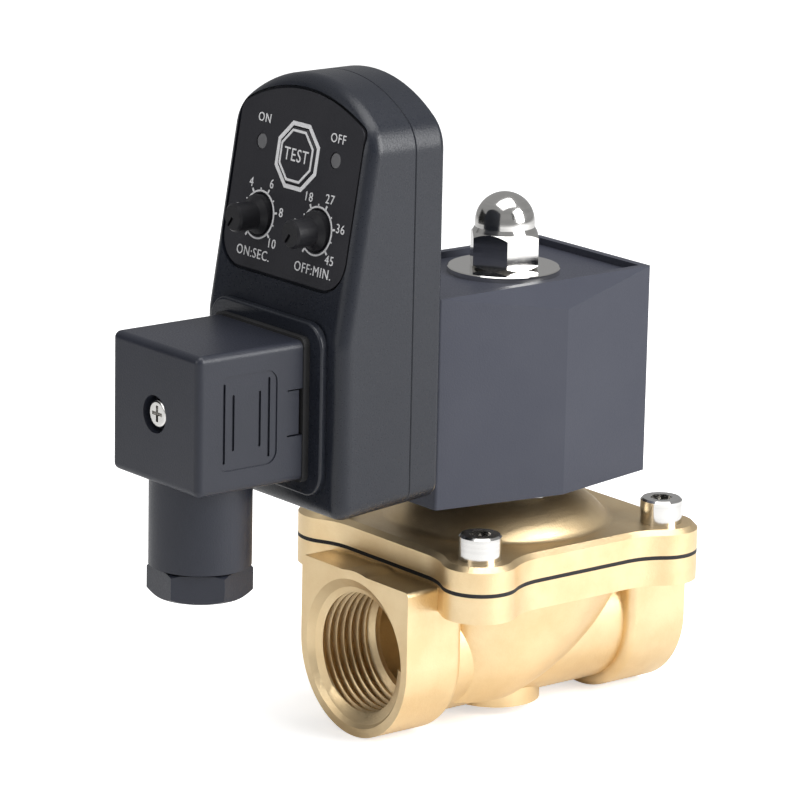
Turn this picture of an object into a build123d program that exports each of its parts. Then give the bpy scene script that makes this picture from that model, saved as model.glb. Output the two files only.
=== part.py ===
from build123d import *
import os
from math import cos, pi, radians, sin, sqrt, tan

# Timer-controlled drain valve: a brass pilot-operated diaphragm valve with a
# clamped coil, a plug-on timer and a right-angle mains plug.
# Millimetres. +Y is the flow direction, +Z up. The origin is the centre of the
# inlet mouth, so the flow axis is the Y axis.

# --- Brass body -----------------------------------------------------------
body_length = 73.0
port_radius = 13.22            # G 3/4 thread, major radius
port_depth = 13.0
mouth_radius = 15.2
mouth_chamfer = 1.6
port_step_radius = 11.4        # shoulder behind the thread run-out
port_step_length = 1.6
passage_radius = 10.0
port_block_radius = 17.0
port_block_top = 16.6
port_block_length = 14.5
port_block_edge = 1.0
port_block_shoulder = 2.0      # rounding of the block's inner end
neck_radius = 14.8
bowl_top_radius = 25.5
bowl_mid_radius = 20.5
bowl_mid_shift = 3.5           # the bowl leans towards the inlet as it narrows
bowl_mid_z = -1.0
bowl_low_radius = 13.0
bowl_low_shift = 10.0
bowl_low_z = -11.0
foot_radius = 9.5
foot_z = -15.0

# --- Flange shared by body, diaphragm and bonnet --------------------------
flange_rim = 4.5               # flange beyond the bonnet's bowl, at its narrowest
flange_extra_y = 1.3           # the flange is a little longer than it is wide
flange_blend = 14.0
screw_inset_x = 3.9
screw_inset_y = 4.7
lobe_radius = 7.5
joint_z = 17.2                 # face of the body that the diaphragm lies on
body_flange_thickness = 5.4
bonnet_flange_thickness = 5.2

# --- Seat and diaphragm ---------------------------------------------------
chamber_radius = 20.0
chamber_depth = 5.0
seat_radius = 10.0
seat_wall = 2.6
seat_root = 0.6                # metal left between the passage's end and the seat
inlet_window_angle = 100.0
diaphragm_thickness = 0.8
diaphragm_centre_radius = 13.5
diaphragm_centre_thickness = 2.0
diaphragm_roll_radius = 1.6
plate_radius = 12.0
plate_thickness = 1.8
plate_neck_radius = 4.0
retainer_radius = 8.0
retainer_thickness = 2.0
pilot_hole_radius = 1.1
nozzle_radius = 2.4
nozzle_height = 1.0
lift_room = 4.0                # free height above the closed plate

# --- Bonnet ---------------------------------------------------------------
bonnet_bowl_radius = 22.5
bonnet_bowl_shoulder = 12.5
bonnet_bowl_height = 6.4
bonnet_wall = 3.0
bonnet_edge = 1.0
bonnet_blend = 2.0

# --- Screws (M5 socket head) ----------------------------------------------
screw_radius = 2.5
screw_length = 10.8
screw_hole_clearance = 0.25
screw_head_radius = 4.25
screw_head_height = 5.0
screw_socket_flats = 4.0
screw_socket_depth = 2.5

# --- Guide tube, core and plunger -----------------------------------------
tube_radius = 8.0
tube_bore = 6.8
tube_thread_radius = 10.5
tube_collar_flats = 24.0
core_length = 16.0
core_gap = 5.2                 # plunger travel plus a little
plunger_clearance = 0.1
plunger_length = 28.0
plunger_seal_radius = 3.2
plunger_seal_height = 2.4
spring_wire = 0.35
spring_wire_sides = 6          # the wire is drawn with six flats to stay light
spring_radius = 2.6
spring_pocket_radius = 3.4
spring_pocket_depth = 9.0
spring_turns = 6
o_ring_wire = 0.9
o_ring_sides = 10
stud_radius = 4.0

# --- Coil -----------------------------------------------------------------
coil_bottom = 32.6
coil_height = 42.2
coil_half_width = 17.3
coil_front = 30.5              # stem axis to the front face
coil_rear = 23.9               # stem axis to the rear face
ridge_half_width = 22.4
ridge_shift = 2.0              # the side ridge stands a little ahead of the stem
ridge_drop = 4.6
coil_edge = 0.7
tray_wall = 1.7
tray_depth = 1.4
coil_clearance = 0.15
pad_size = 28.4
pad_thickness = 1.5
yoke_half_width = 12.5
yoke_half_length = 19.0
yoke_thickness = 2.5
yoke_cover = 2.4
bobbin_wall = 1.2
bobbin_clearance = 0.2
winding_radius = 15.0

# --- Washer and cap nut (M8) ----------------------------------------------
washer_radius = 11.3
washer_thickness = 1.2
nut_flats = 13.0
nut_hex_height = 7.2
nut_collar_radius = 6.5
nut_collar_height = 0.9
nut_dome_radius = 6.0
nut_turn = 25.0
nut_height = 15.0

# --- Plug and timer interface ---------------------------------------------
plug_z = 56.3                  # height of the plug pattern above the flow axis
blade_spread = 9.0
blade_width = 6.3
blade_thickness = 0.8
blade_reach = 8.0
coil_gasket_thickness = 1.6
coil_gasket_size = 27.4

# --- Timer case -----------------------------------------------------------
timer_half_width = 22.0
timer_bottom = 34.8
timer_top = 118.0
timer_crown_radius = 31.0
timer_shoulder_radius = 8.0
timer_foot_radius = 3.5
timer_depth = 24.4
timer_seam = 7.2               # back cover depth
timer_wall = 2.0
timer_edge = 3.0
timer_knee_radius = 9.0
timer_rear_edge = 1.2
timer_base_rise = 1.9
panel_tilt = 9.6
knee_z = 69.5
seam_groove = 0.18
socket_pad_width = 35.6
socket_pad_height = 34.0
socket_pad_radius = 5.0
socket_pad_thickness = 1.5
socket_pad_edge = 0.5

# --- Panel, in panel coordinates (across, up from the knee) ----------------
panel_half_width = 19.1
panel_low = 9.9
panel_top_margin = 3.0         # panel crown to the top of the slope
panel_crown_rise = 5.2
panel_low_radius = 6.0
panel_top_radius = 2.4
panel_thickness = 0.9
panel_recess = 1.1
panel_gap = 0.6
knob_x = 9.1
knob_share = 0.417             # height up the slope, as a share of its length
knob_radius = 2.8
knob_foot_radius = 3.9
knob_length = 6.2
knob_hole_radius = 4.1
knob_notch_width = 0.7
knob_notch_depth = 0.6
knob_rest_angle = 232.5        # lowest setting, anticlockwise from the right
lamp_x = 11.6
lamp_share = 0.701
lamp_radius = 1.6
lamp_length = 5.0
button_share = 0.679
button_flats = 10.8
button_gap = 0.15
button_travel = 0.6
button_proud = 0.3
button_cap = 0.9
button_stem = 2.0
button_reach = 4.0             # depth of the stem's end behind the front

# --- Circuit board --------------------------------------------------------
board_thickness = 1.6
board_half_width = 18.0
board_foot_gap = 4.2           # above the knee
board_top_gap = 10.3           # below the top of the case
pot_size = 9.5
pot_height = 5.0
pot_setback = 4.0              # behind the front face at the knobs
switch_size = 6.0
relay_width = 18.0
relay_height = 19.0
relay_depth = 7.0
socket_size = 24.0
socket_depth = 6.5

# --- Mains plug -----------------------------------------------------------
plug_gasket_thickness = 1.4
plug_gasket_size = 28.5
plug_width = 28.0
plug_depth = 24.5
plug_height = 27.4
plug_edge = 1.4
plug_wall = 2.0
gland_setback = 13.5           # plug back face to the gland axis
gland_radius = 10.0
gland_length = 17.2
gland_bore = 6.6
gland_thread_radius = 8.2
gland_thread_length = 9.0
gland_nut_flats = 17.8
gland_nut_height = 5.6
gland_nut_gap = 0.4
gland_nut_turn = -8.8          # one flat faces the front corner
gland_nut_hole = 5.2
gland_seal_bore = 3.5
gland_seal_height = 3.0
gland_ring_thickness = 0.8
plug_screw_radius = 1.5
plug_screw_head_radius = 2.8
plug_screw_head_height = 2.0
plug_screw_well_radius = 3.7
plug_screw_well_depth = 2.6
insert_depth = 12.0
insert_slot_depth = 8.6
vent_setback = 13.05           # plug back face to the middle of the side frame
vent_frame_length = 14.1
vent_frame_height = 18.4
vent_frame_radius = 2.5
vent_frame_depth = 0.25
vent_outer = 5.25
vent_outer_length = 15.0
vent_inner = 3.1
vent_inner_length = 10.4
vent_slot_width = 0.55
vent_slot_ratio = 2.6          # slot depth as a multiple of the frame's depth
clip_length = 3.6
clip_height = 9.2
clip_gap = 0.7

# --- Places worked out from the sizes above -------------------------------
stem_y = body_length / 2
flange_half_x = bonnet_bowl_radius + flange_rim
flange_half_y = flange_half_x + flange_extra_y
screw_x = flange_half_x - screw_inset_x
screw_y = flange_half_y - screw_inset_y
stem_axis = Axis((0, stem_y, 0), (0, 0, 1))
stem_section = Plane.XZ.offset(-stem_y)
bonnet_z = joint_z + diaphragm_thickness
bonnet_top = bonnet_z + bonnet_flange_thickness
bowl_top = bonnet_top + bonnet_bowl_height
coil_top = coil_bottom + coil_height
tray_floor = coil_top - tray_depth
coil_face_y = stem_y - coil_front
timer_back_y = coil_face_y - pad_thickness - coil_gasket_thickness
timer_front_y = timer_back_y - timer_depth
seam_y = timer_back_y - timer_seam
plug_back_y = timer_front_y - socket_pad_thickness - plug_gasket_thickness
plug_front_y = plug_back_y - plug_depth
gland_y = plug_back_y - gland_setback
gland_axis = Axis((0, gland_y, 0), (0, 0, 1))
vent_y = plug_back_y - vent_setback
plug_bottom = plug_z - plug_height / 2
gland_end = plug_bottom - gland_length
tilt = radians(panel_tilt)
slope_length = (timer_top - knee_z) / cos(tilt)
panel_crown = slope_length - panel_top_margin
panel_shoulder = panel_crown - panel_crown_rise
knob_up = knob_share * slope_length
lamp_up = lamp_share * slope_length
button_up = button_share * slope_length
board_bottom = knee_z + board_foot_gap
board_height = timer_top - board_top_gap - board_bottom
outward = Vector(0, -cos(tilt), sin(tilt))
panel_plane = Plane(origin=(0, timer_front_y, knee_z), x_dir=(1, 0, 0), z_dir=outward)


def stem_plane(z):
    """Horizontal plane centred on the stem."""
    return Plane((0, stem_y, z))


def facing_front(y):
    """Vertical plane at y, seen from the front; a positive extrusion goes to -Y."""
    return Plane.XZ.offset(-y)


def write(piece, name):
    piece.part.label = name
    export_step(piece.part, f"parts/{name}.step")


os.makedirs("parts", exist_ok=True)


# ==========================================================================
# Valve
# ==========================================================================
with BuildSketch() as flange_outline:
    Rectangle(2 * flange_half_x, 2 * flange_half_y)
    with GridLocations(2 * screw_x, 2 * screw_y, 2, 2):
        Circle(lobe_radius)
    fillet(flange_outline.vertices(), flange_blend)

with BuildSketch() as screw_holes:
    with GridLocations(2 * screw_x, 2 * screw_y, 2, 2):
        Circle(screw_radius + screw_hole_clearance)

with BuildPart() as port_bore:
    step_end = port_depth + port_step_length
    with BuildSketch(Plane.XY):
        with BuildLine():
            Polyline(
                (0, 0),
                (mouth_radius, 0),
                (port_radius, mouth_chamfer),
                (port_radius, port_depth),
                (port_step_radius, step_end),
                (passage_radius, step_end),
                (passage_radius, stem_y - seat_radius - seat_wall - seat_root),
                (0, stem_y - seat_radius - seat_wall - seat_root),
                close=True,
            )
        make_face()
    revolve(axis=Axis.Y)

with BuildPart() as valve_body:
    with BuildSketch(facing_front(0)) as block:
        Circle(port_block_radius)
        Rectangle(2 * port_block_radius, port_block_top, align=(Align.CENTER, Align.MIN))
        fillet(block.vertices().group_by(Axis.Y)[-1], port_block_edge)
    extrude(amount=-port_block_length)
    fillet(valve_body.faces().sort_by(Axis.Y)[-1].edges(), port_block_shoulder)
    mirror(about=stem_section)
    with BuildSketch(facing_front(port_block_length)):
        Circle(neck_radius)
    extrude(amount=-(body_length - 2 * port_block_length))
    with BuildSketch(stem_plane(joint_z - body_flange_thickness)):
        Circle(bowl_top_radius)
    with BuildSketch(Plane((0, stem_y - bowl_mid_shift, bowl_mid_z))):
        Circle(bowl_mid_radius)
    with BuildSketch(Plane((0, stem_y - bowl_low_shift, bowl_low_z))):
        Circle(bowl_low_radius)
    loft()
    with BuildSketch(stem_plane(foot_z)):
        Circle(foot_radius)
    extrude(amount=-foot_z)
    with BuildSketch(stem_plane(joint_z - body_flange_thickness)):
        add(flange_outline.sketch)
    extrude(amount=body_flange_thickness)
    # flow passages: inlet, outlet, the ring chamber and the seat bore
    add(port_bore.part, mode=Mode.SUBTRACT)
    add(mirror(port_bore.part, about=stem_section, mode=Mode.PRIVATE), mode=Mode.SUBTRACT)
    with BuildSketch(facing_front(stem_y)):
        Circle(passage_radius)
    extrude(amount=-(stem_y - step_end), mode=Mode.SUBTRACT)
    with BuildSketch(stem_plane(joint_z)):
        Circle(chamber_radius)
        Circle(seat_radius + seat_wall, mode=Mode.SUBTRACT)
    extrude(amount=-chamber_depth, mode=Mode.SUBTRACT)
    with BuildSketch(stem_plane(joint_z)) as window:
        Circle(chamber_radius)
        Circle(seat_radius + seat_wall, mode=Mode.SUBTRACT)
        half_chord = chamber_radius * tan(radians(inlet_window_angle / 2))
        with BuildLine():
            Polyline((0, 0), (-half_chord, -chamber_radius), (half_chord, -chamber_radius), close=True)
        make_face(mode=Mode.INTERSECT)
    extrude(amount=-joint_z, mode=Mode.SUBTRACT)
    with BuildSketch(stem_plane(joint_z)):
        Circle(seat_radius)
    extrude(amount=-joint_z, mode=Mode.SUBTRACT)
    with BuildSketch(stem_plane(joint_z)):
        with GridLocations(2 * screw_x, 2 * screw_y, 2, 2):
            Circle(screw_radius)
    extrude(amount=-body_flange_thickness, mode=Mode.SUBTRACT)
write(valve_body, "valve_body")

with BuildPart() as diaphragm:
    with BuildSketch(stem_plane(joint_z)):
        add(flange_outline.sketch)
        add(screw_holes.sketch, mode=Mode.SUBTRACT)
        Circle(diaphragm_centre_radius, mode=Mode.SUBTRACT)
    extrude(amount=diaphragm_thickness)
    with BuildSketch(stem_plane(joint_z)):
        Circle(diaphragm_centre_radius)
        Circle(plate_neck_radius, mode=Mode.SUBTRACT)
    extrude(amount=diaphragm_centre_thickness)
    roll_middle = (diaphragm_centre_radius + chamber_radius) / 2
    with BuildSketch(stem_section):
        with Locations((roll_middle, joint_z + diaphragm_thickness)):
            Circle(diaphragm_roll_radius)
        with Locations((roll_middle, joint_z + diaphragm_thickness)):
            Rectangle(
                2 * diaphragm_roll_radius,
                diaphragm_roll_radius,
                align=(Align.CENTER, Align.MAX),
                mode=Mode.SUBTRACT,
            )
    revolve(axis=stem_axis)
write(diaphragm, "diaphragm")

disc_z = joint_z + diaphragm_centre_thickness
with BuildPart() as diaphragm_plate:
    with BuildSketch(stem_section):
        with BuildLine():
            Polyline(
                (pilot_hole_radius, joint_z - retainer_thickness),
                (plate_neck_radius, joint_z - retainer_thickness),
                (plate_neck_radius, disc_z),
                (plate_radius, disc_z),
                (plate_radius, disc_z + plate_thickness),
                (nozzle_radius, disc_z + plate_thickness),
                (nozzle_radius, disc_z + plate_thickness + nozzle_height),
                (pilot_hole_radius, disc_z + plate_thickness + nozzle_height),
                close=True,
            )
        make_face()
    revolve(axis=stem_axis)
write(diaphragm_plate, "diaphragm_plate")

with BuildPart() as diaphragm_retainer:
    with BuildSketch(stem_plane(joint_z - retainer_thickness)):
        Circle(retainer_radius)
        Circle(plate_neck_radius, mode=Mode.SUBTRACT)
    extrude(amount=retainer_thickness)
write(diaphragm_retainer, "diaphragm_retainer")

# The pilot chamber over the diaphragm leaves room for the roll and the lift.
chamber_top = disc_z + plate_thickness + lift_room
with BuildPart() as bonnet:
    with BuildSketch(stem_plane(bonnet_z)):
        add(flange_outline.sketch)
        add(screw_holes.sketch, mode=Mode.SUBTRACT)
    extrude(amount=bonnet_flange_thickness)
    chamfer(bonnet.faces().sort_by(Axis.Z)[-1].outer_wire().edges(), bonnet_edge)
    with BuildSketch(stem_section):
        with BuildLine():
            Line((0, bonnet_top), (bonnet_bowl_radius, bonnet_top))
            ThreePointArc(
                (bonnet_bowl_radius, bonnet_top),
                (
                    (bonnet_bowl_radius + bonnet_bowl_shoulder) / 2 + 1.2,
                    bonnet_top + bonnet_bowl_height * 0.6,
                ),
                (bonnet_bowl_shoulder, bowl_top),
            )
            Line((bonnet_bowl_shoulder, bowl_top), (0, bowl_top))
            Line((0, bowl_top), (0, bonnet_top))
        make_face()
    revolve(axis=stem_axis)
    circles = bonnet.edges().filter_by(GeomType.CIRCLE)
    bowl_foot = circles.filter_by(lambda edge: abs(edge.radius - bonnet_bowl_radius) < 0.01)
    fillet(bowl_foot, bonnet_blend)
    with BuildSketch(stem_section):
        with BuildLine():
            Polyline(
                (0, bonnet_z),
                (chamber_radius, bonnet_z),
                (chamber_radius - 1.0, bonnet_z + diaphragm_roll_radius + 1.2),
                (plate_radius + 0.6, chamber_top),
                (tube_thread_radius, chamber_top),
                (tube_thread_radius, bowl_top),
                (0, bowl_top),
                close=True,
            )
        make_face()
    revolve(axis=stem_axis, mode=Mode.SUBTRACT)
write(bonnet, "bonnet")

with BuildPart() as bonnet_screws:
    with BuildSketch(stem_plane(bonnet_top - screw_length)):
        with GridLocations(2 * screw_x, 2 * screw_y, 2, 2):
            Circle(screw_radius)
    extrude(amount=screw_length)
    with BuildSketch(stem_plane(bonnet_top)):
        with GridLocations(2 * screw_x, 2 * screw_y, 2, 2):
            Circle(screw_head_radius)
    extrude(amount=screw_head_height)
    chamfer(bonnet_screws.edges().group_by(Axis.Z)[-1], 0.4)
    with BuildSketch(stem_plane(bonnet_top + screw_head_height)):
        with GridLocations(2 * screw_x, 2 * screw_y, 2, 2):
            RegularPolygon(screw_socket_flats / 2, 6, major_radius=False)
    extrude(amount=-screw_socket_depth, mode=Mode.SUBTRACT)
write(bonnet_screws, "bonnet_screws")

# ==========================================================================
# Guide tube, core and plunger
# ==========================================================================
plunger_z = disc_z + plate_thickness + nozzle_height
plunger_top = plunger_z + plunger_length
core_z = plunger_top + core_gap

with BuildPart() as guide_tube:
    with BuildSketch(stem_section):
        with BuildLine():
            Polyline(
                (tube_bore, chamber_top),
                (tube_thread_radius, chamber_top),
                (tube_thread_radius, bowl_top),
                (tube_radius, bowl_top),
                (tube_radius, tray_floor),
                (tube_bore, tray_floor),
                close=True,
            )
        make_face()
    revolve(axis=stem_axis)
    with BuildSketch(stem_plane(bowl_top)):
        RegularPolygon(tube_collar_flats / 2, 6, major_radius=False)
        Circle(tube_radius, mode=Mode.SUBTRACT)
    extrude(amount=coil_bottom - bowl_top)
write(guide_tube, "guide_tube")

with BuildPart() as fixed_core:
    with BuildSketch(stem_section):
        with BuildLine():
            Polyline(
                (0, core_z),
                (tube_bore, core_z),
                (tube_bore, tray_floor),
                (stud_radius, tray_floor),
                (stud_radius, tray_floor + nut_height - 3.5),
                (0, tray_floor + nut_height - 3.5),
                close=True,
            )
        make_face()
    revolve(axis=stem_axis)
write(fixed_core, "fixed_core")

with BuildPart() as plunger:
    plunger_radius = tube_bore - plunger_clearance
    with BuildSketch(stem_plane(plunger_z)):
        Circle(plunger_radius)
    extrude(amount=plunger_length)
    with BuildSketch(stem_plane(plunger_z)):
        Circle(plunger_seal_radius)
    extrude(amount=plunger_seal_height, mode=Mode.SUBTRACT)
    with BuildSketch(stem_plane(plunger_top)):
        Circle(spring_pocket_radius)
    extrude(amount=-spring_pocket_depth, mode=Mode.SUBTRACT)
    with BuildSketch(stem_plane(plunger_z)):
        with PolarLocations(plunger_radius, 2):
            Rectangle(1.4, 2.0)
    extrude(amount=plunger_length, mode=Mode.SUBTRACT)
write(plunger, "plunger")

with BuildPart() as plunger_seal:
    with BuildSketch(stem_plane(plunger_z)):
        Circle(plunger_seal_radius)
    extrude(amount=plunger_seal_height)
write(plunger_seal, "plunger_seal")

with BuildPart() as plunger_spring:
    spring_z = plunger_top - spring_pocket_depth + spring_wire
    spring_height = core_z - spring_wire - spring_z
    with BuildLine(stem_plane(spring_z)):
        coil_line = Helix(
            pitch=spring_height / spring_turns, height=spring_height, radius=spring_radius
        )
    with BuildSketch(Plane(origin=coil_line @ 0, z_dir=coil_line % 0)):
        RegularPolygon(spring_wire, spring_wire_sides)
    sweep(path=coil_line)
write(plunger_spring, "plunger_spring")

with BuildPart() as tube_o_ring:
    with BuildSketch(stem_section):
        with Locations((tube_radius + o_ring_wire, coil_bottom + o_ring_wire)):
            RegularPolygon(o_ring_wire, o_ring_sides)
    revolve(axis=stem_axis)
write(tube_o_ring, "tube_o_ring")

# ==========================================================================
# Coil
# ==========================================================================
with BuildPart() as coil_yoke:
    yoke_bottom = coil_bottom + yoke_cover
    yoke_top = tray_floor - yoke_cover + 1.0
    side_plane = Plane.YZ.offset(-yoke_half_width)
    with BuildSketch(side_plane):
        with Locations((stem_y, (yoke_bottom + yoke_top) / 2)):
            Rectangle(2 * yoke_half_length, yoke_top - yoke_bottom)
            Rectangle(
                2 * (yoke_half_length - yoke_thickness),
                yoke_top - yoke_bottom - 2 * yoke_thickness,
                mode=Mode.SUBTRACT,
            )
    extrude(amount=2 * yoke_half_width)
    with BuildSketch(stem_plane(yoke_bottom)):
        Circle(tube_radius + coil_clearance)
    extrude(amount=yoke_top - yoke_bottom, mode=Mode.SUBTRACT)
write(coil_yoke, "coil_yoke")

bobbin_bottom = yoke_bottom + yoke_thickness
bobbin_top = yoke_top - yoke_thickness
bobbin_bore = tube_radius + coil_clearance
with BuildPart() as coil_bobbin:
    with BuildSketch(stem_section):
        with BuildLine():
            Polyline(
                (bobbin_bore, bobbin_bottom),
                (winding_radius, bobbin_bottom),
                (winding_radius, bobbin_bottom + bobbin_wall),
                (bobbin_bore + bobbin_wall, bobbin_bottom + bobbin_wall),
                (bobbin_bore + bobbin_wall, bobbin_top - bobbin_wall),
                (winding_radius, bobbin_top - bobbin_wall),
                (winding_radius, bobbin_top),
                (bobbin_bore, bobbin_top),
                close=True,
            )
        make_face()
    revolve(axis=stem_axis)
write(coil_bobbin, "coil_bobbin")

with BuildPart() as coil_winding:
    with BuildSketch(stem_plane(bobbin_bottom + bobbin_wall)):
        Circle(winding_radius)
        Circle(bobbin_bore + bobbin_wall, mode=Mode.SUBTRACT)
    extrude(amount=bobbin_top - bobbin_bottom - 2 * bobbin_wall)
write(coil_winding, "coil_winding")

with BuildPart() as coil_blades:
    blade_root = 5.0
    with BuildSketch(facing_front(coil_face_y + blade_root)):
        with Locations((-blade_spread, plug_z), (blade_spread, plug_z)):
            Rectangle(blade_thickness, blade_width)
        with Locations((0, plug_z - blade_spread)):
            Rectangle(blade_width, blade_thickness)
    extrude(amount=blade_root + pad_thickness + coil_gasket_thickness + blade_reach)
write(coil_blades, "coil_blades")

with BuildPart() as coil_shell:
    with BuildSketch(stem_plane(coil_bottom)):
        with BuildLine():
            Polyline(
                (coil_half_width, -coil_front),
                (ridge_half_width, -ridge_shift),
                (coil_half_width, coil_rear),
                (-coil_half_width, coil_rear),
                (-ridge_half_width, -ridge_shift),
                (-coil_half_width, -coil_front),
                close=True,
            )
        make_face()
    extrude(amount=coil_height)
    fillet(coil_shell.edges().filter_by(Axis.Z), coil_edge)
    # roof facets fall from the tray rim to the side ridges
    with BuildSketch(facing_front(coil_face_y)):
        for side in (-1, 1):
            with BuildLine():
                Polyline(
                    (side * coil_half_width, coil_top),
                    (side * ridge_half_width, coil_top - ridge_drop),
                    (side * (ridge_half_width + 1), coil_top - ridge_drop),
                    (side * (ridge_half_width + 1), coil_top + 1),
                    (side * coil_half_width, coil_top + 1),
                    close=True,
                )
            make_face()
    extrude(amount=-(coil_front + coil_rear), mode=Mode.SUBTRACT)
    with BuildSketch(stem_plane(coil_top)):
        with Locations((0, (coil_rear - coil_front) / 2)):
            Rectangle(
                2 * (coil_half_width - tray_wall), coil_front + coil_rear - 2 * tray_wall
            )
    extrude(amount=-tray_depth, mode=Mode.SUBTRACT)
    with BuildSketch(facing_front(coil_face_y)):
        with Locations((0, plug_z)):
            RectangleRounded(pad_size, pad_size, 1.5)
    extrude(amount=pad_thickness)
    with BuildSketch(stem_plane(coil_bottom)):
        Circle(tube_radius + coil_clearance)
    extrude(amount=coil_height, mode=Mode.SUBTRACT)
    with BuildSketch(stem_plane(coil_bottom)):
        Circle(tube_radius + 2 * o_ring_wire)
    extrude(amount=2 * o_ring_wire, mode=Mode.SUBTRACT)
    for insert in (coil_yoke, coil_bobbin, coil_winding, coil_blades):
        add(insert.part, mode=Mode.SUBTRACT)
write(coil_shell, "coil_shell")

with BuildPart() as coil_washer:
    with BuildSketch(stem_plane(tray_floor)):
        Circle(washer_radius)
        Circle(stud_radius + 0.2, mode=Mode.SUBTRACT)
    extrude(amount=washer_thickness)
    chamfer(coil_washer.edges().group_by(Axis.Z)[-1].sort_by(SortBy.RADIUS)[-1:], 0.2)
write(coil_washer, "coil_washer")

with BuildPart() as cap_nut:
    nut_z = tray_floor + washer_thickness
    hex_radius = nut_flats / sqrt(3)
    with BuildSketch(stem_plane(nut_z)):
        RegularPolygon(nut_flats / 2, 6, major_radius=False, rotation=nut_turn)
    extrude(amount=nut_hex_height)
    # both ends of the hexagon are turned to a cone
    with BuildSketch(stem_section):
        with BuildLine():
            Polyline(
                (0, nut_z),
                (nut_flats / 2, nut_z),
                (hex_radius, nut_z + 0.7),
                (hex_radius, nut_z + nut_hex_height - 0.9),
                (nut_collar_radius, nut_z + nut_hex_height),
                (0, nut_z + nut_hex_height),
                close=True,
            )
        make_face()
    revolve(axis=stem_axis, mode=Mode.INTERSECT)
    dome_z = nut_z + nut_hex_height + nut_collar_height
    with BuildSketch(stem_section):
        with BuildLine():
            Line((0, dome_z - nut_collar_height), (nut_collar_radius, dome_z - nut_collar_height))
            Line((nut_collar_radius, dome_z - nut_collar_height), (nut_dome_radius, dome_z))
            Line((nut_dome_radius, dome_z), (nut_dome_radius, nut_z + nut_height - nut_dome_radius))
            RadiusArc(
                (nut_dome_radius, nut_z + nut_height - nut_dome_radius),
                (0, nut_z + nut_height),
                -nut_dome_radius,
            )
            Line((0, nut_z + nut_height), (0, dome_z - nut_collar_height))
        make_face()
    revolve(axis=stem_axis)
    with BuildSketch(stem_plane(nut_z)):
        Circle(stud_radius)
    extrude(amount=nut_height - 3.5 - washer_thickness, mode=Mode.SUBTRACT)
write(cap_nut, "cap_nut")

# ==========================================================================
# Timer
# ==========================================================================
with BuildPart() as coil_gasket:
    with BuildSketch(facing_front(coil_face_y - pad_thickness)):
        with Locations((0, plug_z)):
            RectangleRounded(coil_gasket_size, coil_gasket_size, 1.2)
            with Locations((-blade_spread, 0), (blade_spread, 0)):
                Rectangle(blade_thickness + 0.4, blade_width + 0.4, mode=Mode.SUBTRACT)
            with Locations((0, -blade_spread)):
                Rectangle(blade_width + 0.4, blade_thickness + 0.4, mode=Mode.SUBTRACT)
    extrude(amount=coil_gasket_thickness)
write(coil_gasket, "coil_gasket")


def case_outline(inset):
    """Front view of the timer case, drawn in from its outer walls by inset."""
    half = timer_half_width - inset
    crown = timer_crown_radius - inset
    crown_centre = timer_top - timer_crown_radius
    shoulder = crown_centre + sqrt(crown**2 - half**2)
    floor = timer_bottom - timer_depth
    with BuildSketch(facing_front(timer_front_y)) as outline:
        with BuildLine():
            Line((-half, floor), (half, floor))
            Line((half, floor), (half, shoulder))
            ThreePointArc((half, shoulder), (0, crown_centre + crown), (-half, shoulder))
            Line((-half, shoulder), (-half, floor))
        make_face()
        fillet(outline.vertices().group_by(Axis.Y)[-1], max(timer_shoulder_radius - inset, 0.5))
    return outline


def case_section(inset):
    """Side view of the timer case: upright below the knee, leaning back above it."""
    back = timer_back_y - inset
    front = timer_front_y + inset
    rise = timer_top - knee_z + 1.0
    knee_shift = inset * tan(tilt / 2)
    with BuildSketch(Plane.YZ.offset(-timer_half_width)) as section:
        with BuildLine():
            Polyline(
                (back, timer_bottom + timer_base_rise + inset),
                (front, timer_bottom + inset),
                (front, knee_z - knee_shift),
                (front + rise * tan(tilt), knee_z - knee_shift + rise),
                (back, timer_top + 1.0),
                close=True,
            )
        make_face()
        knee = section.vertices().sort_by(Axis.Y)[2]
        fillet(knee, timer_knee_radius)
    return section


def case_solid(inset):
    """Timer case as one solid with square edges, drawn in by inset."""
    with BuildPart() as solid:
        extrude(case_section(inset).sketch, amount=2 * timer_half_width, dir=(1, 0, 0))
        extrude(
            case_outline(inset).sketch,
            amount=2 * timer_depth,
            dir=(0, 1, 0),
            mode=Mode.INTERSECT,
        )
        floor_edges = solid.faces().sort_by(Axis.Z)[0].edges().filter_by(Axis.X, reverse=True)
        fillet(floor_edges, max(timer_foot_radius - inset, 0.5))
    return solid.part


def panel_outline(growth, depth):
    """Panel shape on the sloping front, grown all round and sunk by depth."""
    half = panel_half_width
    rise = panel_crown - panel_shoulder
    crown = (half**2 + rise**2) / (2 * rise)
    with BuildSketch(panel_plane.offset(-depth)) as outline:
        with BuildLine():
            Line((-half, panel_low), (half, panel_low))
            Line((half, panel_low), (half, panel_shoulder))
            RadiusArc((half, panel_shoulder), (-half, panel_shoulder), -crown)
            Line((-half, panel_shoulder), (-half, panel_low))
        make_face()
        fillet(outline.vertices().group_by(Axis.Y)[-1], panel_top_radius)
        fillet(outline.vertices().group_by(Axis.Y)[0], panel_low_radius)
        if growth:
            offset(amount=growth)
    return outline.sketch


def panel_openings(depth):
    """Holes for the two lamps and the eight-sided button."""
    with BuildSketch(panel_plane.offset(-depth)) as holes:
        with Locations((-lamp_x, lamp_up), (lamp_x, lamp_up)):
            Circle(lamp_radius)
        with Locations((0, button_up)):
            RegularPolygon(button_flats / 2 + button_gap, 8, major_radius=False, rotation=22.5)
    return holes.sketch


def panel_point(across, up):
    """Point on the sloping front."""
    return panel_plane.from_local_coords((across, up, 0))


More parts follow.
